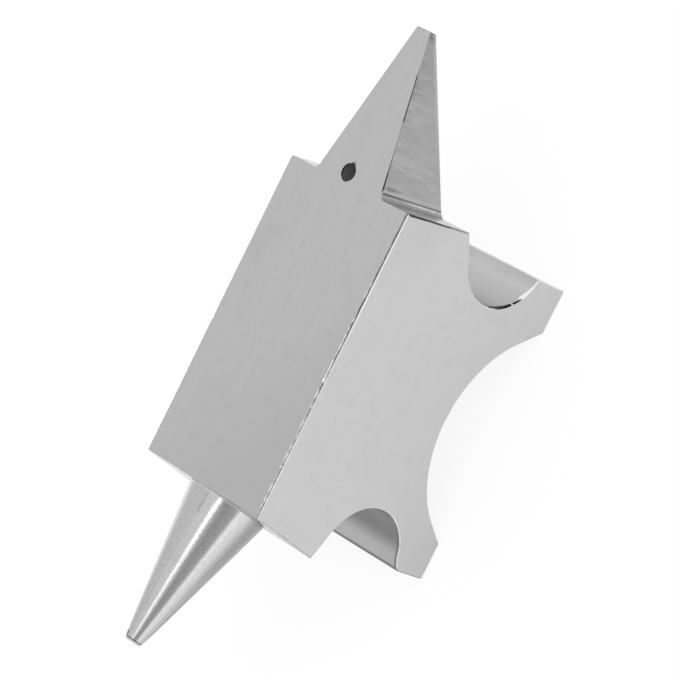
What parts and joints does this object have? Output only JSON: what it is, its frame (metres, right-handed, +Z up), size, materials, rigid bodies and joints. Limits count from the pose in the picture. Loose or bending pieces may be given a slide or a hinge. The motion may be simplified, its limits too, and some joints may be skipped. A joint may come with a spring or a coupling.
{
  "type": "double horn anvil",
  "caption": "Small polished steel bench anvil: flat working face, round cone horn opposite a flat tapered horn with a pritchel hole, hollowed ends and an arch between the feet.",
  "frame": {"origin": "on the ground, at the middle of the feet: midway between their outer ends and across the body's width", "axes": "+Z up; +X along the anvil towards the flat horn; +Y across it, so the round horn points to -X"},
  "size_m": [0.1431, 0.037, 0.0574],
  "materials": {
    "ground_steel": "ground and lightly polished",
    "turned_steel": "turned and polished",
    "milled_steel": "milled, with cutter marks across the flanks",
    "pin_steel": "bright drawn"
  },
  "bodies": {
    "root": {"anvil_body": "ground_steel", "round_horn": "turned_steel", "flat_horn": "milled_steel", "round_horn_pin": "pin_steel", "flat_horn_pin": "pin_steel", "flat_horn_dowels": "pin_steel"}
  },
  "joints": []
}
